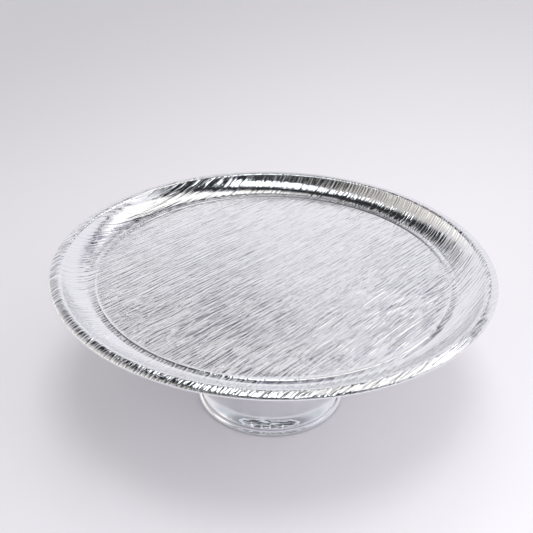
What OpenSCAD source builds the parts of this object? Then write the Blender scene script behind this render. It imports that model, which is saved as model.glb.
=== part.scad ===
// Footed cake stand: a pressed, hemmed sheet-metal plate clamped to a hollow
// spun pedestal by a central stud, washers and a wing nut.
// Z is up. The origin is the centre of the foot, on the table.

/* [Plate] */
// outside diameter of the plate
plate_d = 300; // [240:5:360]
// height of the plate's flat top above the table
flat_h = 104.6; // [85:0.1:130]
// diameter of the raised bead around the flat
bead_d = 242.6; // [180:0.1:290]
// how far the bead stands above the flat
bead_rise = 0.65; // [0.3:0.05:0.7]
// thickness of the plate's sheet
plate_t = 0.9; // [0.6:0.1:1.2]
// width of the narrow ledge outside the bead
ledge_w = 4; // [3:0.5:6]
// height of the ledge above the flat
ledge_rise = 0.2; // [0.1:0.1:0.4]
// width of the concave side of the plate
side_w = 16.2; // [12:0.1:20]
// slope of the concave side where it leaves the ledge
side_start = 14; // [8:1:20]
// slope of the concave side where it meets the crest
side_end = 52; // [40:1:60]
// radius of the crest between the side and the lip
crest_r = 4; // [3:0.5:6]
// slope of the lip where it leaves the crest
lip_start = 10; // [6:1:14]
// slope of the lip at the hem
lip_end = 20; // [18:1:26]
// width of the folded hem under the lip
hem_w = 3.2; // [2:0.1:4]

/* [Pedestal] */
// outside diameter of the foot
foot_d = 112.4; // [90:0.1:150]
// thickness of the pedestal's sheet
shell_t = 1; // [0.8:0.1:1.4]
// radius of the concave flare above the foot
flare_r = 20; // [14:1:26]
// slope of the flare where it meets the flange
flare_end = 48; // [42:1:54]
// width of the flat flange outside the flare
flange_w = 0.6; // [0.4:0.1:2]
// lean of the pedestal wall just above the flare
lean_low = 12; // [6:1:16]
// outward flare of the pedestal wall at the top
lean_high = 20; // [12:1:24]
// rounding of the pedestal's top edge
shoulder_r = 3; // [2.5:0.5:4]
// depth of the dished centre of the pedestal top
dish_depth = 4.2; // [4:0.1:6]
// diameter of the dished centre of the pedestal top
dish_d = 66; // [56:1:72]

/* [Foot ring] */
// height of the top of the foot ring above the table
ring_top = 3.9; // [3.6:0.1:5]
// width of the foot ring, outside to inside
ring_w = 6.6; // [6:0.1:8]
// width of the ring's rounded band outside the flange
band_w = 2.8; // [2.4:0.1:3.4]
// radius of the band's rounded outer face
band_face_r = 4; // [3.6:0.1:6]
// width of the non-slip pad under the ring
pad_w = 4; // [3.5:0.1:4.6]
// how far the pad stands out under the ring
pad_proud = 0.6; // [0.5:0.1:0.7]

/* [Clamp] */
// stud thread diameter
stud_d = 8; // [6:1:10]
// length of stud below its disc
stud_len = 34; // [30:1:40]
// diameter of the disc that carries the stud
disc_d = 44; // [36:1:48]
// thickness of the disc that carries the stud
disc_t = 2.2; // [1.8:0.1:2.6]
// thickness of the seat gasket
gasket_t = 1.5; // [1:0.1:2]
// diameter of the clamp washer
washer_d = 40; // [30:1:44]
// thickness of the clamp washer
washer_t = 1.6; // [1.2:0.1:2]
// thickness of the spring washer
spring_t = 1.8; // [1.4:0.1:2.2]
// height of the wing nut's hub
hub_h = 9; // [8:0.5:11]
// span of the wing nut over both wings
wing_span = 34; // [30:1:38]

/* [Hidden] */
facets = 180;
gap = 0.3;
lap_w = 0.02;
thread_gap = 0.05;
bore_gap = 0.4;
reach = 400;
big = 1000;
plate_r = plate_d / 2;
bead_x = bead_d / 2;
bead_w = 0.9;
flat_r = bead_x - bead_w / 2;
ledge_x = bead_x + ledge_w;
side_x = ledge_x + side_w;
side_r = side_w / (sin(side_end) - sin(side_start));
ledge_end = [ledge_x, flat_h + ledge_rise];
side_c = ledge_end + side_r * [-sin(side_start), cos(side_start)];
side_top = side_c + side_r * [sin(side_end), -cos(side_end)];
crest_c = side_top + crest_r * [sin(side_end), -cos(side_end)];
lip_top = crest_c + crest_r * [sin(lip_start), cos(lip_start)];
lip_run = plate_r - plate_t + plate_t * sin(lip_end) - lip_top[0];
lip_r = lip_run / (sin(lip_end) - sin(lip_start));
lip_c = lip_top - lip_r * [sin(lip_start), cos(lip_start)];
hem_c = lip_c + (lip_r - plate_t) * [sin(lip_end), cos(lip_end)];
hem_sweep = hem_w / lip_r * 180 / PI;

foot_r = foot_d / 2;
ring_in = foot_r - ring_w;
band_in = foot_r - band_w;
flange_r = band_in - gap;
flange_top = ring_top - gap;
flange_low = flange_top - shell_t;
flare_foot = [flange_r - flange_w, flange_top];
flare_c = flare_foot + flare_r * [sin(flare_end), cos(flare_end)];
wall_foot = flare_c - flare_r * [cos(lean_low), sin(lean_low)];
seat_z = flat_h - plate_t;
ped_top = seat_z - gasket_t;
shoulder_low = ped_top - shoulder_r - shoulder_r * sin(lean_high);
wall_rise = shoulder_low - wall_foot[1];
wall_r = wall_rise / (sin(lean_low) + sin(lean_high));
wall_c = wall_foot + wall_r * [cos(lean_low), sin(lean_low)];
wall_top = wall_c - wall_r * [cos(lean_high), -sin(lean_high)];
shoulder_c = wall_top - shoulder_r * [cos(lean_high), -sin(lean_high)];
dish_r = dish_d / 2;
dish_z = ped_top - dish_depth;
stud_r = stud_d / 2;
disc_low = seat_z - disc_t;
clamp_z = dish_z - shell_t;
spring_z = clamp_z - washer_t;
nut_z = spring_z - spring_t;
hub_r = stud_r + 3;
wing_t = 3;
wing_r = 7;
wing_x = wing_span / 2 - wing_r;
wing_z = nut_z - hub_h + 2.5;
pad_out = foot_r - gap - 0.9;
pad_in = pad_out - pad_w;
pad_h = pad_proud + 0.4;

// Part of a ring of sheet, between two radii and two directions. Each end
// laps a hair into its neighbour, so that the two are one piece.
module sheet_arc(centre, r_in, r_out, from, to) {
    lap = lap_w / r_out * 180 / PI;
    low = from - lap;
    high = to + lap;
    mid = (low + high) / 2;
    translate(centre)
        intersection() {
            difference() {
                circle(r = r_out, $fn = facets);
                circle(r = r_in, $fn = facets);
            }
            polygon([
                [0, 0],
                reach * [cos(low), sin(low)],
                reach * [cos(mid), sin(mid)],
                reach * [cos(high), sin(high)],
            ]);
        }
}

// Flat ring standing on the level z.
module flat_ring(r_in, r_out, z, height) {
    translate([0, 0, z])
        difference() {
            cylinder(r = r_out, h = height, $fn = facets);
            translate([0, 0, -1])
                cylinder(r = r_in, h = height + 2, $fn = facets);
        }
}

// Flat, bead and ledge of the plate in half section.
module plate_floor_section() {
    translate([0, flat_h - plate_t])
        square([flat_r, plate_t]);
    translate([flat_r, flat_h + ledge_rise - plate_t])
        square([ledge_x - flat_r, plate_t]);
    translate([bead_x, flat_h + bead_rise - bead_w])
        circle(r = bead_w, $fn = facets);
    polygon([
        ledge_end,
        ledge_end - plate_t * [0, 1],
        ledge_end + plate_t * [sin(side_start), -cos(side_start)],
    ]);
}

// Concave side, crest, lip and hem of the plate in half section.
module plate_rim_section() {
    sheet_arc(side_c, side_r, side_r + plate_t, side_start - 90, side_end - 90);
    sheet_arc(crest_c, crest_r - plate_t, crest_r, 90 - lip_start, 90 + side_end);
    sheet_arc(lip_c, lip_r - plate_t, lip_r, 90 - lip_end, 90 - lip_start);
    sheet_arc(lip_c, lip_r - 2 * plate_t, lip_r, 90 - lip_end, 90 - lip_end + hem_sweep);
    translate(hem_c)
        circle(r = plate_t, $fn = facets);
}

module plate() {
    color("silver")
        rotate_extrude($fn = facets) {
            plate_floor_section();
            plate_rim_section();
        }
}

module stud_disc() {
    color("gainsboro")
        translate([0, 0, disc_low])
            cylinder(d = disc_d, h = disc_t, $fn = facets);
}

module stud() {
    color("lightsteelblue")
        translate([0, 0, disc_low - stud_len])
            cylinder(r = stud_r, h = stud_len, $fn = facets);
}

module seat_gasket() {
    color("dimgray")
        flat_ring(dish_r + 3, shoulder_c[0] - 1, ped_top, gasket_t);
}

// Wall, flange and top of the pedestal in half section.
module pedestal_section() {
    flange_in = flare_foot[0] - shell_t * sin(flare_end);
    translate([flange_in, flange_low])
        square([flange_r - flange_in, shell_t]);
    sheet_arc(flare_c, flare_r, flare_r + shell_t, 180 + lean_low, 270 - flare_end);
    sheet_arc(wall_c, wall_r, wall_r + shell_t, 180 - lean_high, 180 + lean_low);
    sheet_arc(shoulder_c, shoulder_r - shell_t, shoulder_r, -lean_high, 90);
    translate([dish_r, ped_top - shell_t])
        square([shoulder_c[0] - dish_r, shell_t]);
    translate([dish_r, dish_z - shell_t])
        square([shell_t, dish_depth + shell_t]);
    translate([stud_r + bore_gap, dish_z - shell_t])
        square([dish_r - stud_r - bore_gap, shell_t]);
}

module pedestal() {
    color("silver")
        rotate_extrude($fn = facets)
            pedestal_section();
}

// Foot ring in half section: a rounded band with a ledge for the flange and
// a groove for the pad.
module foot_ring_section() {
    face_x = foot_r - band_face_r;
    face_z = ring_top - sqrt(pow(band_face_r, 2) - pow(band_face_r - band_w, 2));
    difference() {
        union() {
            translate([ring_in, pad_proud])
                square([band_in - ring_in + 0.1, flange_low - pad_proud]);
            intersection() {
                translate([face_x, face_z])
                    circle(r = band_face_r, $fn = facets);
                translate([band_in, pad_proud])
                    square([band_w, ring_top - pad_proud]);
            }
        }
        translate([pad_in - gap, pad_proud - 1])
            square([pad_w + 2 * gap, 1 + pad_h - pad_proud]);
    }
}

module foot_ring() {
    color("gainsboro")
        rotate_extrude($fn = facets)
            foot_ring_section();
}

module foot_pad() {
    color("dimgray")
        flat_ring(pad_in, pad_out, 0, pad_h);
}

module clamp_washer() {
    color("lightsteelblue")
        flat_ring(stud_r + bore_gap, washer_d / 2, spring_z, washer_t);
}

module spring_washer() {
    slit = 1.2;
    color("lightsteelblue")
        difference() {
            flat_ring(stud_r + bore_gap, stud_r + bore_gap + 2.8, nut_z, spring_t);
            translate([0, -slit / 2, nut_z - 1])
                cube([stud_r * 4, slit, spring_t + 2]);
        }
}

// One flat wing of the nut, rounded at the tip.
module wing() {
    translate([0, wing_t / 2, 0])
        rotate([90, 0, 0])
            linear_extrude(wing_t)
                difference() {
                    union() {
                        translate([wing_x, wing_z])
                            circle(r = wing_r, $fn = facets);
                        translate([0, wing_z - 2.5])
                            square([wing_x, 7]);
                    }
                    translate([0, nut_z - 1.5])
                        square([wing_span, 20]);
                }
}

module wing_nut() {
    color("gold")
        difference() {
            union() {
                translate([0, 0, nut_z - hub_h])
                    cylinder(r = hub_r, h = hub_h, $fn = facets);
                wing();
                mirror([1, 0, 0])
                    wing();
            }
            translate([0, 0, nut_z - hub_h - 10])
                cylinder(r = stud_r + thread_gap, h = hub_h + 20, $fn = facets);
        }
}

plate();
stud_disc();
stud();
seat_gasket();
pedestal();
foot_ring();
foot_pad();
clamp_washer();
spring_washer();
wing_nut();
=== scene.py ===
"""Footed cake stand: a streaked, plated sheet-metal plate on a polished spun pedestal."""
import logging
import math
from dataclasses import dataclass, field
from enum import Enum
from typing import Iterable, Sequence, Union

import bmesh
import bpy
from mathutils import Matrix, Vector


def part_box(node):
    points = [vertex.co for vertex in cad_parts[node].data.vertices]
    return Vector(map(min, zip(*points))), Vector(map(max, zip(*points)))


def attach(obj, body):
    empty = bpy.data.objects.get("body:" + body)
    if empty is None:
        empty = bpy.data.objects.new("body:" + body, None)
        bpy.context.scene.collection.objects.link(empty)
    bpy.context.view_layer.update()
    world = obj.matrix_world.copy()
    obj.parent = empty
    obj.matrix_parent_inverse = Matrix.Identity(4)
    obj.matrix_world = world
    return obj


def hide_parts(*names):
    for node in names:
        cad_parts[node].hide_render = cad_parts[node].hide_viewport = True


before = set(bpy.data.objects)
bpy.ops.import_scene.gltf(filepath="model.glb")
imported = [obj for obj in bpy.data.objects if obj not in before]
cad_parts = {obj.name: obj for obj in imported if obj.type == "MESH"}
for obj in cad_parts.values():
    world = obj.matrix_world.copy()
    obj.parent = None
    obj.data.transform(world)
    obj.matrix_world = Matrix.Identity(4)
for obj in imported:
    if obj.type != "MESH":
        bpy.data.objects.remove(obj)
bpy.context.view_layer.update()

MM = 0.001
HEADING = math.radians(48.0)
log = logging.getLogger("cake_stand")

Number = Union[int, float]
Point = tuple[float, float]
Span = tuple[float, float]
Colour = tuple[float, float, float, float]


class Slot(Enum):
    """The record's material slots."""

    STREAKED = "textured_plate"
    POLISHED = "polished_plate"
    ZINC = "zinc_steel"
    GASKET = "dark_rubber"
    PAD = "pad_rubber"


# ---------------------------------------------------------------- node expressions


class Wire:
    """An output socket that can stand in arithmetic; each operation adds a Math node."""

    def __init__(self, graph: "Graph", socket: bpy.types.NodeSocket) -> None:
        """Wraps one socket.

        Args:
            graph: the graph that the socket belongs to.
            socket: the output socket.
        """
        self.graph = graph
        self.socket = socket

    def __add__(self, other: "Value") -> "Wire":
        """Sum."""
        return self.graph.math("ADD", self, other)

    def __radd__(self, other: "Value") -> "Wire":
        """Sum, reflected."""
        return self.graph.math("ADD", other, self)

    def __sub__(self, other: "Value") -> "Wire":
        """Difference."""
        return self.graph.math("SUBTRACT", self, other)

    def __rsub__(self, other: "Value") -> "Wire":
        """Difference, reflected."""
        return self.graph.math("SUBTRACT", other, self)

    def __mul__(self, other: "Value") -> "Wire":
        """Product."""
        return self.graph.math("MULTIPLY", self, other)

    def __rmul__(self, other: "Value") -> "Wire":
        """Product, reflected."""
        return self.graph.math("MULTIPLY", other, self)

    def __truediv__(self, other: "Value") -> "Wire":
        """Quotient."""
        return self.graph.math("DIVIDE", self, other)

    def __rtruediv__(self, other: "Value") -> "Wire":
        """Quotient, reflected."""
        return self.graph.math("DIVIDE", other, self)


Value = Union[Wire, Number]
SocketValue = Union[Wire, Number, Sequence[float], str, bool, bpy.types.ID]


class Graph:
    """Builds the nodes of one shader or geometry tree."""

    def __init__(self, tree: bpy.types.NodeTree) -> None:
        """Starts on a tree.

        Args:
            tree: the node tree to add to.
        """
        self.tree = tree

    def node(self, kind: str, settings: dict | None = None,
             sockets: dict | None = None) -> bpy.types.Node:
        """Adds any node.

        Args:
            kind: the node's type name.
            settings: its properties, set first.
            sockets: values or wires for its inputs, by name or index.

        Returns:
            The new node.
        """
        made = self.tree.nodes.new(kind)
        for key, value in (settings or {}).items():
            setattr(made, key, value)
        for key, value in (sockets or {}).items():
            target = made.inputs[key]
            if isinstance(value, Wire):
                self.tree.links.new(value.socket, target)
            else:
                target.default_value = value
        return made

    def out(self, made: bpy.types.Node, key: Union[int, str] = 0) -> Wire:
        """Wraps a node's output."""
        return Wire(self, made.outputs[key])

    def math(self, operation: str, *values: Value) -> Wire:
        """Adds a Math node.

        Args:
            operation: the node's operation.
            *values: its inputs in order.

        Returns:
            Its output.
        """
        made = self.node("ShaderNodeMath", {"operation": operation}, dict(enumerate(values)))
        return self.out(made)

    def smooth(self, value: Wire, low: float, high: float,
               start: float = 0.0, end: float = 1.0) -> Wire:
        """A smooth step.

        Args:
            value: what is compared.
            low: where the step starts.
            high: where it ends.
            start: the result below it.
            end: the result above it.

        Returns:
            The stepped value.
        """
        made = self.node(
            "ShaderNodeMapRange", {"interpolation_type": "SMOOTHSTEP"},
            {"Value": value, "From Min": low, "From Max": high, "To Min": start, "To Max": end})
        return self.out(made)

    def between(self, value: Wire, low: float, high: float, soft: float) -> Wire:
        """A smooth window, 1 between two limits and 0 outside them.

        Args:
            value: what is compared.
            low: the lower limit.
            high: the upper limit.
            soft: the width of each edge.

        Returns:
            The window.
        """
        return self.smooth(value, low - soft, low + soft) * self.smooth(
            value, high - soft, high + soft, 1.0, 0.0)

    def noise(self, vector: Wire, detail: float = 0.0, rough: float = 0.5) -> Wire:
        """Plain noise of feature size 1 in the vector's units, from 0 to 1.

        Args:
            vector: where it is read.
            detail: finer layers on top.
            rough: how strong they are.

        Returns:
            The noise value.
        """
        made = self.node(
            "ShaderNodeTexNoise", {"noise_dimensions": "3D"},
            {"Vector": vector, "Scale": 1.0, "Detail": detail, "Roughness": rough})
        return self.out(made)

    def grain(self, position: Wire, size: float, detail: float, rough: float = 0.5) -> Wire:
        """Noise of one feature size.

        Args:
            position: object space position.
            size: the feature size, in metres.
            detail: finer layers on top.
            rough: how strong they are.

        Returns:
            The noise value.
        """
        cells = self.join(*[part / size for part in self.split(position)])
        return self.noise(cells, detail, rough)

    def split(self, vector: Wire) -> tuple[Wire, Wire, Wire]:
        """A vector's three parts."""
        made = self.node("ShaderNodeSeparateXYZ", {}, {0: vector})
        return self.out(made, 0), self.out(made, 1), self.out(made, 2)

    def join(self, x: Value, y: Value, z: Value) -> Wire:
        """A vector from three parts."""
        return self.out(self.node("ShaderNodeCombineXYZ", {}, {0: x, 1: y, 2: z}))

    def mix(self, factor: Value, first: SocketValue, second: SocketValue) -> Wire:
        """Mixes two colours.

        Args:
            factor: how much of the second.
            first: the first colour.
            second: the second colour.

        Returns:
            The mixed colour.
        """
        made = self.node("ShaderNodeMix", {"data_type": "RGBA", "clamp_factor": True},
                         {0: factor, 6: first, 7: second})
        return self.out(made, 2)


@dataclass(frozen=True)
class StreakRule:
    """The run of the plate's pressed streaks, shared by its relief and its finish."""

    heading: float = HEADING
    pitch: float = 3.5 * MM
    run: float = 80.0 * MM
    comb: float = 2.5 * MM
    wander: float = 1.2 * MM
    wander_cell: tuple[float, float, float] = (34 * MM, 24 * MM, 12 * MM)
    drift: float = 1.5
    drift_cell: Span = (30 * MM, 7 * MM)
    hold_run: float = 22 * MM
    held: Span = (0.36, 0.50)

    def frame_of(self, graph: Graph, position: Wire) -> tuple[Wire, Wire]:
        """Places along and across the streaks.

        Args:
            graph: the graph to build in.
            position: object space position.

        Returns:
            Along and across, in metres, with the streaks' slow wander in the second.
        """
        x, y, z = graph.split(position)
        cos_h, sin_h = math.cos(self.heading), math.sin(self.heading)
        along = x * cos_h + y * sin_h
        across = y * cos_h - x * sin_h
        cells = [part / size for part, size in zip((along, across, z), self.wander_cell)]
        slow = graph.noise(graph.join(*cells), 1.0)
        return along, across + (slow - 0.5) * (2 * self.wander)

    def lines(self, graph: Graph, position: Wire, scale: float, shift: float,
              width: float) -> Wire:
        """One layer of long, wandering, forking lines.

        Args:
            graph: the graph to build in.
            position: object space position.
            scale: size of this layer against the rule's own pitch and run.
            shift: moves the layer, so that two layers differ.
            width: how wide the lines are, as a share of the noise.

        Returns:
            1 along the middle of a line, falling to 0 beside it.
        """
        along, across = self.frame_of(graph, position)
        spot = graph.join(along / (self.run * scale) + shift,
                          across / (self.pitch * scale), shift)
        level = graph.noise(spot, 0.8, 0.3)
        return graph.smooth(graph.math("ABSOLUTE", level - 0.5), 0.0, width, 1.0, 0.0)

    def combed(self, graph: Graph, position: Wire, width: float) -> Wire:
        """Even, parallel lines that come and go along their run.

        Args:
            graph: the graph to build in.
            position: object space position.
            width: how wide the lines are, as a share of their spacing.

        Returns:
            1 along the middle of a line, falling to 0 beside it.
        """
        along, across = self.frame_of(graph, position)
        run, gap = self.drift_cell
        drift = graph.noise(graph.join(along / run, across / gap, 4.0), 1.0)
        beside = 2 * graph.math("PINGPONG", across / self.comb + self.drift * drift, 0.5)
        hold = graph.noise(graph.join(along / self.hold_run, across / self.comb, 9.0))
        return graph.smooth(beside, 0.0, width, 1.0, 0.0) * graph.smooth(hold, *self.held)


STREAKS = StreakRule()


# ---------------------------------------------------------------- finishes


class Finish:
    """What every finish shares: a material with one Principled shader."""

    title: str = "finish"

    def material(self) -> bpy.types.Material:
        """The finish's material, made once."""
        found = bpy.data.materials.get(self.title)
        if found is not None:
            return found
        made = bpy.data.materials.new(self.title)
        made.use_nodes = True
        made.node_tree.nodes.clear()
        graph = Graph(made.node_tree)
        output = graph.node("ShaderNodeOutputMaterial")
        shader = graph.node("ShaderNodeBsdfPrincipled")
        made.node_tree.links.new(shader.outputs[0], output.inputs["Surface"])
        self.dress(graph, shader)
        return made

    def dress(self, graph: Graph, shader: bpy.types.Node) -> None:
        """Fills the shader in; each finish has its own."""
        raise NotImplementedError

    @staticmethod
    def feed(graph: Graph, shader: bpy.types.Node, **sockets: SocketValue) -> None:
        """Links or sets shader sockets.

        Args:
            graph: the material's graph.
            shader: the Principled shader.
            **sockets: values by socket name, with _ for each space.
        """
        for key, value in sockets.items():
            target = shader.inputs[key.replace("_", " ")]
            if isinstance(value, Wire):
                graph.tree.links.new(value.socket, target)
            else:
                target.default_value = value

    @staticmethod
    def place(graph: Graph) -> Wire:
        """Object space position."""
        return graph.out(graph.node("ShaderNodeTexCoord"), "Object")

    @staticmethod
    def bump(graph: Graph, height: Wire, distance: float) -> Wire:
        """A bumped normal.

        Args:
            graph: the material's graph.
            height: the height field, 0 to 1.
            distance: what a height of 1 is, in metres.

        Returns:
            The normal.
        """
        return graph.out(graph.node(
            "ShaderNodeBump", {}, {"Strength": 1.0, "Distance": distance, "Height": height}))


@dataclass(frozen=True)
class StreakedPlating(Finish):
    """Bright plating over the pressed streaks, with painted shade in their grooves."""

    title: str = "streaked_plating"
    bright: Colour = (0.93, 0.93, 0.95, 1.0)
    # The darker colour and its share are painted shade along the streak grooves.
    painted_groove_shade: Colour = (0.70, 0.70, 0.74, 1.0)
    painted_groove_shading: float = 0.40
    main_share: float = 0.55
    second_share: float = 0.45
    fine_share: float = 0.18
    pit_share: float = 0.14
    pit: float = 0.9 * MM
    depth: float = 0.28 * MM

    def dress(self, graph: Graph, shader: bpy.types.Node) -> None:
        """Crisp streaks in the bump, their lines painted a little darker and duller as painted shade in
        the grooves.
        """
        place = self.place(graph)
        relief = graph.math("ABSOLUTE", graph.out(
            graph.node("ShaderNodeAttribute", {"attribute_name": "relief"}), "Fac"))
        main = STREAKS.combed(graph, place, width=0.62)
        second = STREAKS.lines(graph, place, scale=0.9, shift=3.7, width=0.09)
        fine = STREAKS.lines(graph, place, scale=0.34, shift=8.1, width=0.09)
        pits = graph.grain(place, self.pit, 1.0)
        sunk = (main * self.main_share + second * self.second_share
                + fine * self.fine_share + pits * self.pit_share) * relief
        uneven = 0.02 * graph.grain(place, 0.5 * MM, 2.0) + 0.03 * graph.grain(
            place, 35 * MM, 2.0)
        # Base colour darkens along the sunk streak lines: painted shade in the grooves, fainter where
        # the relief is fainter.
        self.feed(
            graph, shader,
            Base_Color=graph.mix(sunk * self.painted_groove_shading, self.bright, self.painted_groove_shade),
            Metallic=1.0,
            Roughness=0.02 + uneven,
            Normal=self.bump(graph, 1 - sunk, self.depth))


@dataclass(frozen=True)
class MirrorPlating(Finish):
    """Bright plating over polished, spun sheet."""

    title: str = "mirror_plating"
    bright: Colour = (0.90, 0.90, 0.92, 1.0)
    dull: Colour = (0.80, 0.80, 0.83, 1.0)
    groove: float = 0.35 * MM
    depth: float = 0.0006 * MM

    def dress(self, graph: Graph, shader: bpy.types.Node) -> None:
        """Faint turning lines and wipe marks."""
        place = self.place(graph)
        x, y, z = graph.split(place)
        radius = graph.math("SQRT", x * x + y * y)
        turned = graph.noise(
            graph.join(radius / self.groove, z / self.groove, x / (60 * MM)), 1.0)
        cloud = graph.grain(place, 18 * MM, 3.0)
        self.feed(
            graph, shader,
            Base_Color=graph.mix(cloud, self.bright, self.dull),
            Metallic=1.0,
            Roughness=0.02 + 0.05 * cloud + 0.02 * turned,
            Normal=self.bump(graph, turned, self.depth))


@dataclass(frozen=True)
class ZincPlating(Finish):
    """Satin zinc over steel, for the hidden hardware."""

    title: str = "zinc_plating"
    light: Colour = (0.66, 0.68, 0.71, 1.0)
    dark: Colour = (0.42, 0.43, 0.45, 1.0)
    brush: float = 0.25 * MM
    depth: float = 0.012 * MM

    def dress(self, graph: Graph, shader: bpy.types.Node) -> None:
        """Spangled, brushed and slightly stained."""
        place = self.place(graph)
        x, y, z = graph.split(place)
        spangle = graph.grain(place, 1.6 * MM, 3.0, 0.6)
        stain = graph.grain(place, 9 * MM, 3.0, 0.6)
        brush = graph.noise(
            graph.join(x / (6 * MM), y / self.brush, z / self.brush), 1.0)
        self.feed(
            graph, shader,
            Base_Color=graph.mix(graph.smooth(stain, 0.35, 0.75), self.light, self.dark),
            Metallic=1.0,
            Roughness=0.26 + 0.18 * spangle + 0.08 * brush,
            Normal=self.bump(graph, spangle * 0.5 + brush * 0.5, self.depth))


@dataclass(frozen=True)
class MouldedRubber(Finish):
    """Matt moulded rubber."""

    title: str = "moulded_rubber"
    deep: Colour = (0.020, 0.020, 0.022, 1.0)
    dusty: Colour = (0.060, 0.059, 0.058, 1.0)
    depth: float = 0.02 * MM

    def dress(self, graph: Graph, shader: bpy.types.Node) -> None:
        """Fine moulded grain with a little dust."""
        place = self.place(graph)
        grain = graph.grain(place, 0.3 * MM, 2.0)
        dust = graph.grain(place, 6 * MM, 4.0, 0.6)
        self.feed(
            graph, shader,
            Base_Color=graph.mix(graph.smooth(dust, 0.45, 0.8), self.deep, self.dusty),
            Roughness=0.55 + 0.25 * grain,
            Normal=self.bump(graph, grain, self.depth))


@dataclass(frozen=True)
class PaleFloor(Finish):
    """The plain pale surface that the stand is on, with painted light and shade across it."""

    title: str = "pale_floor"
    # Painted light: the paler colours stand for the lit right side, the others for the shaded left and
    # far back.
    pale: Colour = (0.62, 0.61, 0.63, 1.0)
    painted_light_right: Colour = (0.90, 0.885, 0.915, 1.0)
    far: Colour = (0.54, 0.53, 0.55, 1.0)
    painted_light_far_right: Colour = (0.66, 0.65, 0.67, 1.0)

    def dress(self, graph: Graph, shader: bpy.types.Node) -> None:
        """Painted light and shade, a little lighter to the right and darker to the left and far back."""
        x, y, z = graph.split(self.place(graph))
        # Base colour is painted light and shade: lighter to the right, darker to the left and towards
        # the far back.
        self.feed(
            graph, shader,
            Base_Color=graph.mix(
                graph.smooth(y, 0.2, 2.3),
                graph.mix(graph.smooth(1.8 * x - 0.25 * y, -1.6, 0.5), self.pale, self.painted_light_right),
                graph.mix(graph.smooth(x, -0.9, 0.9), self.far, self.painted_light_far_right)),
            Roughness=0.22 + 0.05 * graph.noise(graph.join(x / 0.2, y / 0.2, z), 2.0),
            Specular_IOR_Level=0.35)


# ---------------------------------------------------------------- shaping


def arc(centre: Point, radius: float, start: float, end: float, steps: int) -> list[Point]:
    """Points along an arc of a half section.

    Args:
        centre: the arc's centre.
        radius: its radius.
        start: its first direction, in degrees.
        end: its last direction, in degrees.
        steps: the number of spans.

    Returns:
        The points, both ends included.
    """
    turn = [math.radians(start + (end - start) * step / steps) for step in range(steps + 1)]
    return [(centre[0] + radius * math.cos(t), centre[1] + radius * math.sin(t)) for t in turn]


def rounded(inner: float, outer: float, low: float, high: float, soft: float,
            steps: tuple[int, int]) -> list[Point]:
    """A ring's closed half section with four rounded edges.

    Args:
        inner: the ring's inner radius.
        outer: its outer radius.
        low: its lower height.
        high: its upper height.
        soft: the radius of its edges.
        steps: the spans of each outer edge and of each inner edge.

    Returns:
        The points, from the outer lower edge round to the inner lower edge.
    """
    out_steps, in_steps = steps
    return (arc((outer - soft, low + soft), soft, -90, 0, out_steps)
            + arc((outer - soft, high - soft), soft, 0, 90, out_steps)
            + arc((inner + soft, high - soft), soft, 90, 180, in_steps)
            + arc((inner + soft, low + soft), soft, 180, 270, in_steps))


@dataclass
class Shell:
    """A closed skin made of rings about the Z axis."""

    heading: float = 0.0
    points: list[tuple[float, float, float]] = field(default_factory=list)
    faces: list[tuple[int, ...]] = field(default_factory=list)
    relief: list[float] = field(default_factory=list)

    def spot(self, x: float, y: float, z: float, relief: float = 0.0) -> int:
        """Adds a point.

        Args:
            x: its place from left to right.
            y: its place from front to back.
            z: its height.
            relief: how strongly the streaks show there.

        Returns:
            The point's number.
        """
        self.points.append((x, y, z))
        self.relief.append(relief)
        return len(self.points) - 1

    def ring(self, where: Point, count: int, relief: float = 0.0) -> list[int]:
        """Adds a ring of points, or one point on the axis.

        Args:
            where: radius and height.
            count: the number of points.
            relief: how strongly the streaks show there.

        Returns:
            The points' numbers.
        """
        if where[0] < 1e-7:
            return [self.spot(0.0, 0.0, where[1], relief)]
        turns = [self.heading + 2 * math.pi * k / count for k in range(count)]
        return [self.spot(where[0] * math.cos(t), where[0] * math.sin(t), where[1], relief)
                for t in turns]

    def bridge(self, first: list[int], second: list[int]) -> None:
        """Joins two rings, of equal counts, one half of the other, or one a point.

        Args:
            first: one ring.
            second: the next ring.
        """
        if len(first) < len(second):
            first, second = second, first
        count = len(first)
        if len(second) == 1:
            self.faces += [(first[k], first[(k + 1) % count], second[0]) for k in range(count)]
        elif len(second) == count:
            self.faces += [(first[k], first[(k + 1) % count], second[(k + 1) % count],
                            second[k]) for k in range(count)]
        else:
            for k in range(len(second)):
                a, b, c = first[2 * k], first[2 * k + 1], first[(2 * k + 2) % count]
                p, q = second[k], second[(k + 1) % len(second)]
                self.faces += [(a, b, p), (b, q, p), (b, c, q)]

    def turn(self, outline: Iterable[Point], count: int, closed: bool) -> None:
        """Turns an outline about the axis.

        Args:
            outline: radius and height of each point.
            count: the number of sides.
            closed: whether the last ring joins the first.
        """
        rings = [self.ring(where, count) for where in outline]
        for first, second in zip(rings, rings[1:]):
            self.bridge(first, second)
        if closed:
            self.bridge(rings[-1], rings[0])

    def build(self, name: str, material: bpy.types.Material) -> bpy.types.Object:
        """Makes the object, faces outward and shaded smooth.

        Args:
            name: the piece's name.
            material: its finish.

        Returns:
            The object, at the origin.
        """
        mesh = bpy.data.meshes.new(name)
        mesh.from_pydata(self.points, [], self.faces)
        if any(self.relief):
            layer = mesh.attributes.new("relief", "FLOAT", "POINT")
            layer.data.foreach_set("value", self.relief)
        work = bmesh.new()
        work.from_mesh(mesh)
        bmesh.ops.recalc_face_normals(work, faces=work.faces)
        work.to_mesh(mesh)
        work.free()
        mesh.shade_smooth()
        mesh.materials.append(material)
        made = bpy.data.objects.new(name, mesh)
        bpy.context.scene.collection.objects.link(made)
        return made


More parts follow.
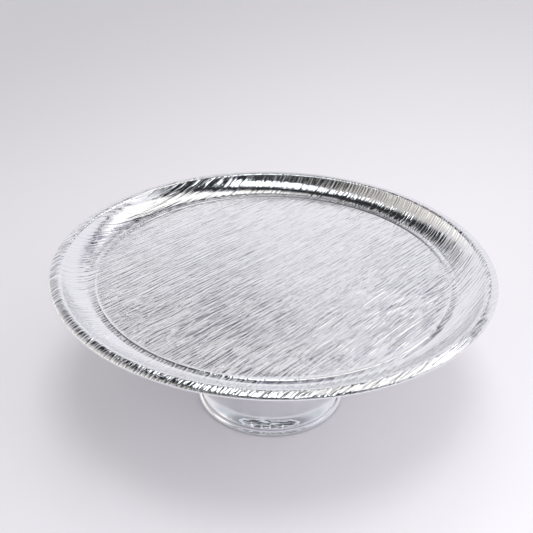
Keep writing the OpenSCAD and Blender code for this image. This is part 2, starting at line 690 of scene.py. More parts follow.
def settle(piece: bpy.types.Object) -> bpy.types.Object:
    """Bakes a piece's modifiers into its mesh.

    Args:
        piece: the piece.

    Returns:
        The same piece, with a plain mesh and no modifiers.
    """
    shown = bpy.context.evaluated_depsgraph_get()
    mesh = bpy.data.meshes.new_from_object(piece.evaluated_get(shown))
    piece.modifiers.clear()
    piece.data = mesh
    return piece


def mount(piece: bpy.types.Object, node: str) -> bpy.types.Object:
    """Puts a finished piece in place of its CAD node.

    Args:
        piece: the piece.
        node: the CAD node it stands for.

    Returns:
        The piece.
    """
    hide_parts(node)
    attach(piece, "root")
    log.info("%s: %d faces for %s", piece.name, len(piece.data.polygons), node)
    return piece


def spin(name: str, outline: Iterable[Point], sides: int, finish: Finish, node: str) -> bpy.types.Object:
    """Makes a finished piece from a closed half section.

    Args:
        name: the piece's name.
        outline: radius and height of each point.
        sides: the number of sides.
        finish: its finish.
        node: the CAD node it stands for.

    Returns:
        The piece.
    """
    shell = Shell()
    shell.turn(outline, sides, True)
    return mount(shell.build(name, finish.material()), node)


def add_nodes(piece: bpy.types.Object, tree: bpy.types.NodeTree,
              values: dict[str, SocketValue]) -> None:
    """Puts a Geometry Nodes tree on a piece.

    Args:
        piece: the piece.
        tree: the tree.
        values: the tree's inputs by name.
    """
    modifier = piece.modifiers.new(tree.name, "NODES")
    modifier.node_group = tree
    by_name = {item.name: item.identifier for item in tree.interface.items_tree
               if item.item_type == "SOCKET" and item.in_out == "INPUT"}
    for name, value in values.items():
        modifier[by_name[name]] = value


def geometry_tree(name: str, inputs: dict[str, str]) -> tuple[bpy.types.NodeTree, Graph,
                                                               bpy.types.Node]:
    """Starts a Geometry Nodes tree.

    Args:
        name: the tree's name.
        inputs: socket type of each named input besides the geometry.

    Returns:
        The tree, its graph and its input node.
    """
    tree = bpy.data.node_groups.new(name, "GeometryNodeTree")
    tree.interface.new_socket("Geometry", in_out="INPUT", socket_type="NodeSocketGeometry")
    for title, kind in inputs.items():
        tree.interface.new_socket(title, in_out="INPUT", socket_type=kind)
    tree.interface.new_socket("Geometry", in_out="OUTPUT", socket_type="NodeSocketGeometry")
    graph = Graph(tree)
    return tree, graph, graph.node("NodeGroupInput")


def end_tree(graph: Graph, shape: Wire, material: Wire) -> None:
    """Ends a Geometry Nodes tree in Realize Instances and Set Material.

    Args:
        graph: the tree's graph.
        shape: the geometry so far.
        material: the material.
    """
    real = graph.out(graph.node("GeometryNodeRealizeInstances", {}, {0: shape}))
    dressed = graph.node("GeometryNodeSetMaterial", {},
                         {"Geometry": real, "Material": material})
    graph.node("NodeGroupOutput", {}, {0: graph.out(dressed)})


# ---------------------------------------------------------------- the plate


@dataclass
class PressedPlate:
    """The plate: streaked flat, bead, ledge, concave side, crest, lip and hem."""

    sheet: float = 0.9 * MM
    bead_r: float = 121.3 * MM
    bead_rise: float = 0.65 * MM
    bead_w: float = 0.9 * MM
    ledge_w: float = 4.0 * MM
    ledge_rise: float = 0.2 * MM
    bead_steps: int = 8
    bead_relief: Span = (0.25, 0.35)
    ledge_relief: float = 0.3
    side_relief: Span = (0.35, 0.75)
    crest_relief: Span = (0.7, 0.65)
    lip_relief: float = 0.75
    hem_relief: Span = (0.7, 0.4)
    under_relief: tuple[float, float, float] = (-0.5, -0.8, -0.1)
    flat_relief: float = 0.56
    flat_tilt: float = 2.5
    fade_w: float = 9.0 * MM
    edge_w: float = 1.2 * MM
    least_fade: float = 0.3
    least_edge: float = 0.05
    side_w: float = 16.2 * MM
    side_start: float = 14.0
    side_end: float = 52.0
    crest_r: float = 4.0 * MM
    lip_start: float = 10.0
    lip_end: float = 20.0
    hem_w: float = 3.2 * MM
    sides: int = 1400
    spans: int = 46
    relief_depth: float = 0.05 * MM
    swell: float = 5.0
    swell_cell: float = 26 * MM
    under_rings: tuple[float, float, float] = (110 * MM, 60 * MM, 0.0)

    def half_section(self) -> tuple[list[tuple[Point, float]], list[tuple[Point, float]]]:
        """The plate's upper and lower outlines outside the flat.

        Returns:
            Upper outline outward and lower outline inward: radius, height and relief.
        """
        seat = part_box("stud_disc")[1].z
        top = seat + self.sheet
        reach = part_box("plate")[1].x
        t = self.sheet
        rad = math.radians
        ledge_x = self.bead_r + self.ledge_w
        side_r = self.side_w / (math.sin(rad(self.side_end)) - math.sin(rad(self.side_start)))
        side_c = (ledge_x - side_r * math.sin(rad(self.side_start)),
                  top + self.ledge_rise + side_r * math.cos(rad(self.side_start)))
        out_s, up_s = math.sin(rad(self.side_end)), -math.cos(rad(self.side_end))
        crest_c = (side_c[0] + (side_r + self.crest_r) * out_s,
                   side_c[1] + (side_r + self.crest_r) * up_s)
        out_l, up_l = math.sin(rad(self.lip_start)), math.cos(rad(self.lip_start))
        lip_top = (crest_c[0] + self.crest_r * out_l, crest_c[1] + self.crest_r * up_l)
        out_e = math.sin(rad(self.lip_end))
        lip_r = (reach - t + t * out_e - lip_top[0]) / (out_e - out_l)
        lip_c = (lip_top[0] - lip_r * out_l, lip_top[1] - lip_r * up_l)
        hem_c = (lip_c[0] + (lip_r - t) * out_e,
                 lip_c[1] + (lip_r - t) * math.cos(rad(self.lip_end)))
        hem_turn = math.degrees(self.hem_w / lip_r)

        def rows(points: Iterable[Point], first: float, last: float
                 ) -> list[tuple[Point, float]]:
            """Pairs points with a relief.

            Args:
                points: the points in order.
                first: the relief at the first point.
                last: the relief at the last point.

            Returns:
                Each point and its relief.
            """
            listed = list(points)
            span = max(len(listed) - 1, 1)
            return [(p, first + (last - first) * k / span) for k, p in enumerate(listed)]

        inner, outer = self.bead_r - self.bead_w, self.bead_r + 1.3 * self.bead_w
        bead = []
        for step in range(self.bead_steps + 1):
            share = step / self.bead_steps
            bump = 0.5 * self.bead_rise * math.sin(math.pi * share) ** 2
            bead.append((inner + (outer - inner) * share,
                         top + self.ledge_rise * share + bump))
        deep, deepest, faint = self.under_relief
        side = (self.side_start - 90, self.side_end - 90)
        crest_in, lip_in, lip_out = 90 + self.side_end, 90 - self.lip_start, 90 - self.lip_end
        folded = lip_out + hem_turn
        upper = rows(bead, *self.bead_relief)
        upper += rows([(ledge_x - 0.25 * MM, top + self.ledge_rise)],
                      self.ledge_relief, self.ledge_relief)
        upper += rows(arc(side_c, side_r, *side, 11), *self.side_relief)
        for centre, radius, start, end, steps, relief in (
                (crest_c, self.crest_r, crest_in, lip_in, 7, self.crest_relief),
                (lip_c, lip_r, lip_in, lip_out, 5, (self.lip_relief, self.lip_relief)),
                (hem_c, t, lip_out, lip_out - 180, 6, self.hem_relief)):
            upper += rows(arc(centre, radius, start, end, steps)[1:], *relief)
        lower = rows(arc(lip_c, lip_r - 2 * t, lip_out, folded, 3)[1:], 0.2, 0.2)
        lower += rows(arc(lip_c, lip_r - t, folded, lip_in, 2), deep, deepest)
        lower += rows(arc(crest_c, self.crest_r - t, lip_in, crest_in, 5)[1:], deepest, deep)
        lower += rows(arc(side_c, side_r + t, *reversed(side), 8)[1:], deep, faint)
        lower += rows([(ledge_x, seat + self.ledge_rise),
                       (self.bead_r + 0.5 * MM, seat + self.ledge_rise),
                       (self.bead_r - 0.6 * MM, seat)], faint, faint)
        return upper, lower

    def flat(self, shell: Shell, ring: list[int], height: float) -> None:
        """Fills the flat with spans that follow the streaks.

        Args:
            shell: the shell being built.
            ring: the ring of points at the flat's edge.
            height: the flat's height.
        """
        count = len(ring)
        half = count // 2
        cos_h, sin_h = math.cos(shell.heading), math.sin(shell.heading)
        edge = math.hypot(*shell.points[ring[0]][:2])
        last = [ring[0]]
        for row in range(1, half + 1):
            if row == half:
                now = [ring[half]]
            else:
                low, high = ring[count - row], ring[row]
                now = [low]
                turn = 2 * math.pi * row / count
                u, v = edge * math.cos(turn), edge * math.sin(turn)
                fade = max(self.least_fade, min(1.0, v / self.fade_w))
                for step in range(1, self.spans):
                    w = v * (2 * step / self.spans - 1)
                    inner = min(1.0, (edge - math.hypot(u, w)) / self.edge_w)
                    x, y = u * cos_h - w * sin_h, u * sin_h + w * cos_h
                    pressed = self.flat_relief - self.flat_tilt * y
                    now.append(shell.spot(
                        x, y, height, pressed * max(self.least_edge, inner) * fade))
                now.append(high)
            if len(last) == 1 or len(now) == 1:
                fan, tip = (now, last[0]) if len(last) == 1 else (last, now[0])
                shell.faces += [(tip, fan[k], fan[k + 1]) for k in range(self.spans)]
            else:
                shell.faces += [(last[k], now[k], now[k + 1], last[k + 1])
                                for k in range(self.spans)]
            last = now

    def relief_tree(self) -> bpy.types.NodeTree:
        """The rule that presses the streaks into the sheet.

        Returns:
            The Geometry Nodes tree.
        """
        tree, graph, start = geometry_tree("pressed_streaks", {
            "Depth": "NodeSocketFloat", "Finish": "NodeSocketMaterial"})
        depth = graph.out(start, "Depth")
        place = graph.out(graph.node("GeometryNodeInputPosition"))
        broad = STREAKS.combed(graph, place, width=0.9)
        swell = graph.grain(place, self.swell_cell, 2.0)
        height = (self.swell * swell - self.swell / 2 - broad) * depth
        relief = graph.out(graph.node(
            "GeometryNodeInputNamedAttribute", {"data_type": "FLOAT"}, {"Name": "relief"}))
        normal = graph.out(graph.node("GeometryNodeInputNormal"))
        offset = graph.node("ShaderNodeVectorMath", {"operation": "SCALE"},
                            {0: normal, "Scale": height * relief})
        moved = graph.node("GeometryNodeSetPosition", {},
                           {"Geometry": graph.out(start, "Geometry"),
                            "Offset": graph.out(offset)})
        end_tree(graph, graph.out(moved), graph.out(start, "Finish"))
        return tree

    def build(self) -> bpy.types.Object:
        """Builds the plate.

        Returns:
            The finished piece.
        """
        upper, lower = self.half_section()
        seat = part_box("stud_disc")[1].z
        shell = Shell(heading=STREAKS.heading)
        rings = [shell.ring(where, self.sides, relief) for where, relief in upper]
        self.flat(shell, rings[0], seat + self.sheet)
        for first, second in zip(rings, rings[1:]):
            shell.bridge(first, second)
        last, count = rings[-1], self.sides // 2
        for row, (where, relief) in enumerate(lower):
            count = self.sides // 4 if row else count
            now = shell.ring(where, count, relief)
            shell.bridge(last, now)
            last = now
        for radius in self.under_rings:
            now = shell.ring((radius, seat), count)
            shell.bridge(last, now)
            last = now
        finish = StreakedPlating().material()
        piece = shell.build("pressed_plate", finish)
        add_nodes(piece, self.relief_tree(), {
            "Depth": self.relief_depth, "Finish": finish})
        return mount(settle(piece), "plate")


# ---------------------------------------------------------------- the pedestal


@dataclass
class SpunPedestal:
    """The hollow pedestal with its foot ring and pad."""

    sheet: float = 1.0 * MM
    flare_r: float = 20.0 * MM
    flare_end: float = 48.0
    lean_low: float = 12.0
    lean_high: float = 20.0
    shoulder_r: float = 3.0 * MM
    dish_r: float = 33.0 * MM
    dish_depth: float = 4.2 * MM
    bore_r: float = 4.4 * MM
    flange_w: float = 0.6 * MM
    band_w: float = 2.8 * MM
    band_face_r: float = 4.0 * MM
    ring_w: float = 6.6 * MM
    seam: float = 0.3 * MM
    pad_w: float = 4.0 * MM
    edge: float = 0.15 * MM
    bend: float = 0.2 * MM
    sides: int = 256

    def shell_outline(self) -> list[Point]:
        """The pedestal sheet's closed half section, outside first."""
        low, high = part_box("pedestal")
        foot, top, t = low.z + self.sheet, high.z, self.sheet
        flange_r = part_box("foot_ring")[1].x - self.band_w - self.seam
        rad = math.radians
        cos_l, sin_l = math.cos(rad(self.lean_low)), math.sin(rad(self.lean_low))
        cos_h, sin_h = math.cos(rad(self.lean_high)), math.sin(rad(self.lean_high))
        flare_c = (flange_r - self.flange_w + self.flare_r * math.sin(rad(self.flare_end)),
                   foot + self.flare_r * math.cos(rad(self.flare_end)))
        wall_foot = (flare_c[0] - self.flare_r * cos_l, flare_c[1] - self.flare_r * sin_l)
        rise = top - self.shoulder_r * (1 + sin_h) - wall_foot[1]
        wall_r = rise / (sin_l + sin_h)
        wall_c = (wall_foot[0] + wall_r * cos_l, wall_foot[1] + wall_r * sin_l)
        wall_top = (wall_c[0] - wall_r * cos_h, wall_c[1] + wall_r * sin_h)
        shoulder_c = (wall_top[0] - self.shoulder_r * cos_h,
                      wall_top[1] + self.shoulder_r * sin_h)
        dish_z = top - self.dish_depth
        edge, bend, round_over = self.edge, self.bend, 0.6 * MM
        outline = [(flange_r - edge, foot - t), (flange_r, foot - t + edge),
                   (flange_r, foot - edge), (flange_r - edge, foot)]
        outline += arc(flare_c, self.flare_r, 270 - self.flare_end, 180 + self.lean_low, 20)
        outline += arc(wall_c, wall_r, 180 + self.lean_low, 180 - self.lean_high, 40)[1:]
        outline += arc(shoulder_c, self.shoulder_r, -self.lean_high, 90, 14)[1:]
        dish, bore = self.dish_r, self.bore_r
        outline += [(dish + round_over, top), (dish + bend, top - edge),
                    (dish, top - round_over), (dish, dish_z + bend),
                    (dish - bend, dish_z), (bore + edge, dish_z),
                    (bore, dish_z - edge), (bore, dish_z - t + edge),
                    (bore + edge, dish_z - t), (dish + t - 2 * bend, dish_z - t),
                    (dish + t, dish_z - t + 2 * bend), (dish + t, top - t)]
        outline += arc(shoulder_c, self.shoulder_r - t, 90, -self.lean_high, 8)
        outline += arc(wall_c, wall_r + t, 180 - self.lean_high, 180 + self.lean_low, 28)[1:]
        outline += arc(flare_c, self.flare_r + t, 180 + self.lean_low,
                       270 - self.flare_end, 12)[1:]
        return outline

    def ring_outline(self) -> list[Point]:
        """The foot ring's closed half section."""
        low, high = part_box("foot_ring")
        pad_low, pad_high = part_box("foot_pad")
        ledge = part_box("pedestal")[0].z
        out_r, in_r, lip = high.x, high.x - self.ring_w, high.x - self.band_w
        pad_out, pad_in = pad_high.x + self.seam, pad_high.x - self.pad_w - self.seam
        soft, face = 0.25 * MM, self.band_face_r
        face_c = (out_r - face, high.z - math.sqrt(face ** 2 - (face - self.band_w) ** 2))
        top_turn = math.degrees(math.acos((face - self.band_w + soft) / face))
        outline = [(out_r - 2 * soft, low.z), (out_r - soft, low.z + 0.3 * soft)]
        outline += arc(face_c, face, 12, top_turn, 16)
        outline += [(lip + 0.3 * soft, high.z - 0.4 * soft), (lip, high.z - soft),
                    (lip, ledge), (in_r + self.bend, ledge), (in_r, ledge - self.bend),
                    (in_r, low.z + self.edge), (in_r + self.edge, low.z), (pad_in, low.z),
                    (pad_in, pad_high.z), (pad_out, pad_high.z), (pad_out, low.z)]
        return outline

    def pad_outline(self) -> list[Point]:
        """The pad's closed half section, with rounded lower edges."""
        low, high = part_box("foot_pad")
        out_r, in_r, soft, edge = high.x, high.x - self.pad_w, 0.35 * MM, 0.1 * MM
        return (arc((in_r + soft, low.z + soft), soft, 180, 270, 5)
                + arc((out_r - soft, low.z + soft), soft, 270, 360, 5)
                + [(out_r, high.z - edge), (out_r - edge, high.z),
                   (in_r + edge, high.z), (in_r, high.z - edge)])

    def build(self) -> list[bpy.types.Object]:
        """Builds the pedestal, ring and pad.

        Returns:
            The finished pieces.
        """
        return [
            spin("spun_pedestal", self.shell_outline(), self.sides, MirrorPlating(),
                 "pedestal"),
            spin("foot_band", self.ring_outline(), self.sides, MirrorPlating(),
                 "foot_ring"),
            spin("grip_pad", self.pad_outline(), self.sides, MouldedRubber(),
                 "foot_pad")]


# ---------------------------------------------------------------- the clamp


@dataclass
class ClampStack:
    """Everything that holds plate and pedestal together, none of it seen from above."""

    pitch: float = 1.25 * MM
    thread_depth: float = 0.7 * MM
    stud_r: float = 4.0 * MM
    bore_r: float = 4.4 * MM
    seat_r: float = 36.0 * MM
    stud_tip: float = 1.2 * MM
    tip_cut: float = 0.8 * MM
    fillet: float = 1.4 * MM
    thread_end: float = 2.0 * MM
    slit: float = 0.6 * MM
    hub_r: float = 7.0 * MM
    hub_height: float = 9.0 * MM
    wing: float = 3.0 * MM
    skin: float = 0.32 * MM
    weld_r: float = 2.0 * MM
    weld_place: float = 0.72
    weld_height: float = 0.16
    welds: int = 6

    def disc(self) -> bpy.types.Object:
        """The disc under the plate, with a ring of weld marks."""
        low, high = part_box("stud_disc")
        soft = 0.4 * MM
        outline = [(0.0, low.z)]
        outline += arc((high.x - soft, low.z + soft), soft, -90, 0, 5)
        outline += arc((high.x - soft, high.z - soft), soft, 0, 90, 3)
        outline += [(0.0, high.z)]
        shell = Shell()
        shell.turn(outline, 96, False)
        finish = ZincPlating().material()
        piece = shell.build("welded_disc", finish)
        add_nodes(piece, self.weld_tree(), {
            "Ring Radius": self.weld_place * high.x, "Weld Radius": self.weld_r,
            "Weld Count": self.welds,
            "Height": low.z, "Finish": finish})
        return mount(settle(piece), "stud_disc")

    def weld_tree(self) -> bpy.types.NodeTree:
        """The rule for the ring of spot welds.

        Returns:
            The Geometry Nodes tree.
        """
        tree, graph, start = geometry_tree("weld_ring", {
            "Ring Radius": "NodeSocketFloat", "Weld Radius": "NodeSocketFloat",
            "Weld Count": "NodeSocketInt", "Height": "NodeSocketFloat",
            "Finish": "NodeSocketMaterial"})
        circle = graph.node("GeometryNodeMeshCircle", {"fill_type": "NONE"}, {
            "Vertices": graph.out(start, "Weld Count"),
            "Radius": graph.out(start, "Ring Radius")})
        lifted = graph.node("GeometryNodeTransform", {}, {
            "Geometry": graph.out(circle),
            "Translation": graph.join(0.0, 0.0, graph.out(start, "Height"))})
        bead = graph.node("GeometryNodeMeshUVSphere", {}, {
            "Segments": 20, "Rings": 10, "Radius": graph.out(start, "Weld Radius")})
        flat = graph.node("GeometryNodeTransform", {}, {
            "Geometry": graph.out(bead), "Scale": (1.0, 1.0, self.weld_height)})
        placed = graph.node("GeometryNodeInstanceOnPoints", {}, {
            "Points": graph.out(lifted), "Instance": graph.out(flat)})
        smooth = graph.node("GeometryNodeSetShadeSmooth", {}, {
            0: graph.out(graph.node("GeometryNodeRealizeInstances", {},
                                    {0: graph.out(placed)}))})
        both = graph.node("GeometryNodeJoinGeometry")
        for shape in (graph.out(start, "Geometry"), graph.out(smooth)):
            graph.tree.links.new(shape.socket, both.inputs[0])
        end_tree(graph, graph.out(both), graph.out(start, "Finish"))
        return tree

    def stud(self) -> bpy.types.Object:
        """The stud, with a rolled thread and a weld fillet at its root."""
        low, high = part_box("stud")
        turn, rows_per_pitch = 48, 8
        rows = int((high.z - low.z) / self.pitch * rows_per_pitch)
        shell = Shell()
        rings = []
        for row in range(rows + 1):
            z = low.z + (high.z - low.z) * row / rows
            tip = min(1.0, (z - low.z) / self.stud_tip)
            root = min(1.0, (high.z - z) / self.thread_end)
            weld = max(0.0, 1 - (high.z - z) / self.fillet) ** 2 * self.fillet
            ring = []
            for k in range(turn):
                t = 2 * math.pi * k / turn
                phase = ((z - low.z) / self.pitch - k / turn) % 1.0
                cut = abs(2 * phase - 1) * self.thread_depth * root
                r = self.stud_r - cut - (1 - tip) * self.tip_cut + weld
                ring.append(shell.spot(r * math.cos(t), r * math.sin(t), z))
            rings.append(ring)
        for first, second in zip(rings, rings[1:]):
            shell.bridge(first, second)
        shell.bridge(rings[0], shell.ring((0.0, low.z), turn))
        shell.bridge(rings[-1], shell.ring((0.0, high.z), turn))
        return mount(shell.build("threaded_stud", ZincPlating().material()), "stud")

    def gasket(self) -> bpy.types.Object:
        """The ring gasket under the plate, its edges swollen by the clamp load."""
        low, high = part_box("seat_gasket")
        mid = (low.z + high.z) / 2
        half = (high.z - low.z) / 2
        outline = arc((high.x - half, mid), half, -90, 90, 8)
        outline += arc((self.seat_r + half, mid), half, 90, 270, 8)
        return spin("seat_ring", outline, 192, MouldedRubber(), "seat_gasket")

    def washer(self) -> bpy.types.Object:
        """The clamp washer, rolled over on its punched side."""
        low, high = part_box("clamp_washer")
        outline = rounded(self.bore_r, high.x, low.z, high.z, 0.35 * MM, (5, 4))
        return spin("clamp_disc", outline, 96, ZincPlating(), "clamp_washer")

    def spring(self) -> bpy.types.Object:
        """The spring washer: one split turn of square wire, closed by the nut."""
        low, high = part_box("spring_washer")
        out_r = abs(low.x)
        slit = math.asin(self.slit / ((self.bore_r + out_r) / 2))
        corner = rounded(self.bore_r, out_r, low.z, high.z, 0.25 * MM, (3, 3))
        shell = Shell()
        steps = 72
        rings = []
        for step in range(steps + 1):
            t = slit + (2 * math.pi - 2 * slit) * step / steps
            rings.append([shell.spot(r * math.cos(t), r * math.sin(t), z)
                          for r, z in corner])
        for first, second in zip(rings, rings[1:]):
            shell.bridge(first, second)
        shell.faces += [tuple(rings[0]), tuple(rings[-1])]
        return mount(shell.build("split_washer", ZincPlating().material()), "spring_washer")

    def nut(self) -> bpy.types.Object:
        """The wing nut: a cast hub and two wings, melted into one skin."""
        low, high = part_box("wing_nut")
        reach, hub_low = high.x, high.z - self.hub_height
        bore = self.stud_r + 0.05 * MM
        shell = Shell()
        outline = [(bore, hub_low), (self.hub_r - 0.8 * MM, hub_low),
                   (self.hub_r - 0.1 * MM, hub_low + 0.8 * MM),
                   (self.hub_r, high.z - 0.6 * MM), (self.hub_r - 0.6 * MM, high.z),
                   (bore, high.z)]
        shell.turn(outline, 64, True)
        for side in (1, -1):
            wing = [(bore + 0.9 * MM, high.z - 2.2 * MM),
                    (self.hub_r + 0.5 * MM, high.z - 2.2 * MM),
                    (reach - 5 * MM, high.z - 2.0 * MM), (reach - 1.2 * MM, high.z - 3.4 * MM),
                    (reach, high.z - 6.4 * MM), (reach - 1.2 * MM, low.z + 3.2 * MM),
                    (reach - 5 * MM, low.z + 0.4 * MM), (reach - 9 * MM, low.z + 1.4 * MM),
                    (self.hub_r + 0.6 * MM, low.z + 4.6 * MM),
                    (bore + 0.9 * MM, hub_low + 1.0 * MM)]
            front, back = ([shell.spot(side * x, y, z) for x, z in wing]
                           for y in (-self.wing / 2, self.wing / 2))
            shell.bridge(front, back)
            shell.faces += [tuple(front), tuple(back)]
        piece = shell.build("cast_wing_nut", ZincPlating().material())
        melt = piece.modifiers.new("melt", "REMESH")
        melt.mode, melt.voxel_size, melt.use_smooth_shade = "VOXEL", self.skin, True
        ease = piece.modifiers.new("ease", "SMOOTH")
        ease.factor, ease.iterations = 0.5, 6
        settle(piece)
        return mount(piece, "wing_nut")

    def build(self) -> list[bpy.types.Object]:
        """Builds the clamp.

        Returns:
            The finished pieces.
        """
        return [self.disc(), self.stud(), self.gasket(), self.washer(), self.spring(),
                self.nut()]


# ---------------------------------------------------------------- the studio


@dataclass(frozen=True)
class Patch:
    """A soft-edged rectangle of the surroundings, in degrees around and up."""

    around: Span
    rise: Span
    soft: Span


@dataclass(frozen=True)
class Levels:
    """How bright each part of the surroundings is, and how much the dark parts take away."""

    ground: float = 0.03
    wall: float = 0.87
    seam_cut: float = 0.70
    box: float = 1.15
    violet_cut: float = 0.85
    haze: float = 0.55
    sides: float = 0.5
    strips: float = 0.5
    front: float = 0.34
    front_low: float = 0.36
    inside: float = 0.10
    bars: float = 0.7
    rim: float = 0.75


@dataclass(frozen=True)
class Surroundings:
    """A pale room with soft boxes and dark gaps for the plating to mirror, in degrees."""

    back: Span = (-92, 92)
    back_soft: float = 10
    lean: Span = (0.08, 0.14)
    wall_top: Span = (41, 44.5)
    seam: Span = (33.0, 36.2)
    seam_soft: float = 0.6
    box: Span = (-5, 72)
    box_low: Span = (54, 12)
    box_step: Span = (17, 26)
    box_top: Span = (69, 73)
    haze: Patch = Patch((-112, -46), (20, 72), (5, 8))
    violets: tuple[Patch, ...] = (Patch((22, 30), (27, 48), (3, 5)),
                                  Patch((-3, 7), (38.5, 42), (2, 1)))
    sides: tuple[Patch, ...] = (Patch((88, 125), (30, 42), (4, 4)),
                                Patch((-125, -88), (30, 42), (4, 4)))
    strips: Span = (20, 74)
    front_top: Span = (38, 50)
    eye_width: float = 46
    eye_low: float = 21
    eye_height: float = 18
    eye_dents: float = 0.7
    violet_tone: Colour = (0.34, 0.26, 0.66, 1.0)
    haze_tone: Colour = (1.0, 0.965, 0.91, 1.0)
    cool_tone: Colour = (0.92, 0.95, 1.0, 1.0)
    wall_tone: Colour = (0.965, 0.96, 1.0, 1.0)
    box_tone: Colour = (1.0, 0.985, 0.96, 1.0)
    plain_tone: Colour = (0.945, 0.93, 0.955, 1.0)
    plain_level: float = 0.88
    plain_right: float = 0.46
    plain_front: float = 0.40
    levels: Levels = Levels()

    def mirrored(self, graph: Graph, around: Wire, rise: Wire) -> tuple[Wire, Wire]:
        """What the plating shows.

        Args:
            graph: the world's graph.
            around: direction around, 0 at the back.
            rise: direction up.

        Returns:
            The colour and the strength.
        """
        def patch(spot: Patch) -> Wire:
            """A patch's window.

            Args:
                spot: the patch.

            Returns:
                1 inside it, 0 outside.
            """
            return graph.between(around, *spot.around, spot.soft[0]) * graph.between(
                rise, *spot.rise, spot.soft[1])

        def cells(width: float, height: float, shift: float) -> Wire:
            """Where noise is read.

            Args:
                width: its feature size around, in degrees.
                height: its feature size up, in degrees.
                shift: moves it, so that two noises differ.

            Returns:
                The place in the noise.
            """
            return graph.join(around / width, rise / height, shift)

        give = self.levels
        back = graph.between(around, *self.back, self.back_soft)
        lean = self.lean[0] * around + self.lean[1] * graph.math("MINIMUM", around, 0.0)
        wall = back * graph.smooth(rise - lean, *self.wall_top, 1.0, 0.0)
        seam = graph.between(rise, *self.seam, self.seam_soft) * back
        sill = self.box_low[0] - self.box_low[1] * graph.smooth(around, *self.box_step)
        box = graph.between(around, *self.box, 3) * graph.smooth(
            rise - sill, -2, 2) * graph.smooth(rise, *self.box_top, 1.0, 0.0)
        haze = patch(self.haze)
        violet = graph.smooth(graph.noise(cells(2, 4, 5.0), 1.0), 0.34, 0.48) * (
            patch(self.violets[0]) + patch(self.violets[1]))
        fringe = graph.noise(cells(5, 60, 0.0), 2.0, 0.6)
        strips = graph.smooth(fringe, 0.60, 0.66) * graph.between(rise, *self.strips, 6)
        sides = patch(self.sides[0]) + patch(self.sides[1])
        turned = (180 - graph.math("ABSOLUTE", around)) / self.eye_width
        dents = self.eye_dents * graph.noise(cells(11, 9, 7.0), 2.0, 0.6)
        raised = (rise - self.eye_low) / self.eye_height + dents - self.eye_dents / 2
        eye = graph.math("SQRT", turned * turned + raised * raised)
        bars = graph.smooth(graph.noise(cells(18, 4, 3.0), 1.0), 0.50, 0.60)
        front = (1 - back) * graph.smooth(rise, *self.front_top, 1.0, 0.0) * graph.smooth(
            eye, 0.98, 1.02) * (give.front + graph.smooth(eye, 1.0, 1.7, 0.0, give.front_low))
        inside = graph.smooth(eye, 0.86, 0.94, 1.0, 0.0) * (give.inside + give.bars * bars)
        room = wall * (give.wall - seam * give.seam_cut) + give.box * box
        level = (give.ground + room * (1 - give.violet_cut * violet) + give.haze * haze
                 + give.sides * sides + give.strips * strips * (1 - wall) + front + inside
                 + give.rim * graph.between(eye, 0.90, 1.02, 0.03))
        tone = graph.mix(graph.math("MAXIMUM", wall, box), self.cool_tone,
                         graph.mix(box, self.wall_tone, self.box_tone))
        hazy = graph.mix(haze, tone, self.haze_tone)
        return graph.mix(violet, hazy, self.violet_tone), level

    def build(self) -> bpy.types.World:
        """Makes the world: these for mirror rays, a plain pale gradient for the rest.

        Returns:
            The world.
        """
        world = bpy.data.worlds.new("studio")
        world.use_nodes = True
        world.node_tree.nodes.clear()
        graph = Graph(world.node_tree)
        x, y, z = graph.split(graph.out(graph.node("ShaderNodeTexCoord"), "Generated"))
        around = graph.math("ARCTAN2", x, y) * (180 / math.pi)
        rise = graph.math("ARCSINE", z) * (180 / math.pi)
        colour, level = self.mirrored(graph, around, rise)
        shown = graph.node("ShaderNodeBackground", {}, {"Color": colour, "Strength": level})
        plain = graph.node("ShaderNodeBackground", {}, {
            "Color": self.plain_tone,
            "Strength": self.plain_level + self.plain_right * x - self.plain_front * y})
        mirror = graph.out(graph.node("ShaderNodeLightPath"), "Is Glossy Ray")
        both = graph.node("ShaderNodeMixShader", {}, {
            0: mirror, 1: graph.out(plain), 2: graph.out(shown)})
        graph.node("ShaderNodeOutputWorld", {}, {"Surface": graph.out(both)})
        return world


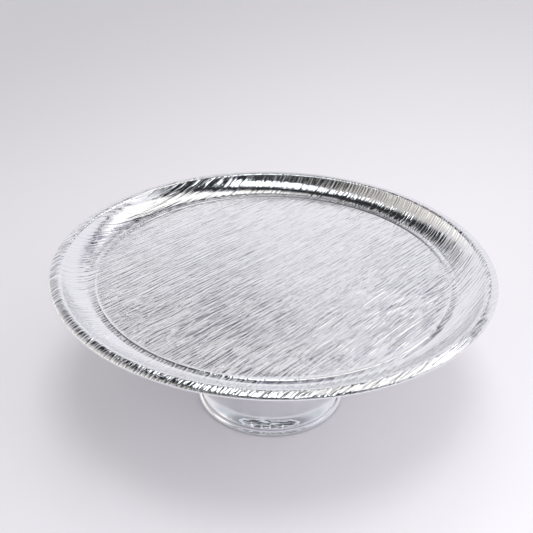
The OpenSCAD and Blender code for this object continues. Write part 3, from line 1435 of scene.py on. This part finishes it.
@dataclass
class Studio:
    """Floor, lights and camera, within the surroundings."""

    distance: float = 0.4223
    eye_height: float = 0.3510
    eye_side: float = 0.0012
    pitch: float = 30.11
    swing: float = -0.79
    roll: float = 1.06
    lens: float = 47.28
    sensor: float = 36.0
    floor_half: float = 6.0

    def camera(self) -> None:
        """The camera, standing in front and looking down on the plate."""
        pitch, swing, roll = (math.radians(v) for v in (self.pitch, self.swing, self.roll))
        ahead = Vector((math.sin(swing) * math.cos(pitch), math.cos(swing) * math.cos(pitch),
                        -math.sin(pitch)))
        right = ahead.cross(Vector((0, 0, 1))).normalized()
        up = right.cross(ahead)
        turned_right = right * math.cos(roll) + up * math.sin(roll)
        turned_up = up * math.cos(roll) - right * math.sin(roll)
        data = bpy.data.cameras.new("camera")
        data.sensor_width, data.lens = self.sensor, self.lens
        data.clip_start, data.clip_end = 0.01, 40.0
        camera = bpy.data.objects.new("camera", data)
        rotation = Matrix((turned_right, turned_up, -ahead)).transposed().to_4x4()
        camera.matrix_world = Matrix.Translation(
            (self.eye_side, -self.distance, self.eye_height)) @ rotation
        bpy.context.scene.collection.objects.link(camera)
        bpy.context.scene.camera = camera

    def floor(self) -> None:
        """The plain pale floor."""
        half = self.floor_half
        mesh = bpy.data.meshes.new("floor")
        mesh.from_pydata([(-half, -half, 0), (half, -half, 0), (half, half, 0),
                          (-half, half, 0)], [], [(0, 1, 2, 3)])
        mesh.materials.append(PaleFloor().material())
        floor = bpy.data.objects.new("floor", mesh)
        bpy.context.scene.collection.objects.link(floor)

    def lamp(self, name: str, place: Vector, aim: Vector, size: tuple[float, float],
             power: float, colour: tuple[float, float, float],
             mirrored: bool = True) -> None:
        """One soft box.

        Args:
            name: the lamp's name.
            place: where it hangs.
            aim: what it points at.
            size: its width and depth.
            power: its power in watts.
            colour: its colour.
            mirrored: whether the plating shows it.
        """
        data = bpy.data.lights.new(name, "AREA")
        data.shape, data.size, data.size_y = "RECTANGLE", size[0], size[1]
        data.energy, data.color = power, colour
        lamp = bpy.data.objects.new(name, data)
        lamp.location = place
        lamp.rotation_euler = (aim - place).to_track_quat("-Z", "Y").to_euler()
        lamp.visible_glossy = mirrored
        bpy.context.scene.collection.objects.link(lamp)

    def lamps(self) -> None:
        """The overhead soft box and a wash that the plating doesn't show."""
        self.lamp("wash", Vector((0.04, -0.34, 1.15)), aim=Vector((0.0, -0.1, 0.0)),
                  size=(0.34, 0.34), power=2.9, colour=(1.0, 0.985, 1.0), mirrored=False)
        self.lamp("overhead", Vector((0.0, 0.06, 0.95)), aim=Vector((0.0, 0.0, 0.0)),
                  size=(0.26, 0.22), power=0.72, colour=(0.93, 0.97, 1.0))

    def build(self) -> None:
        """Sets the whole studio up."""
        self.camera()
        self.floor()
        self.lamps()
        bpy.context.scene.world = Surroundings().build()
        bpy.context.scene.view_settings.view_transform = "Standard"


def keep_sizes() -> None:
    """Updates the view layer."""
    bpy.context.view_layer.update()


def main() -> None:
    """Builds the stand piece by piece, then the studio."""
    logging.basicConfig(level=logging.INFO, format="%(name)s: %(message)s")
    PressedPlate().build()
    SpunPedestal().build()
    ClampStack().build()
    Studio().build()
    keep_sizes()


if __name__ == "__main__":
    main()
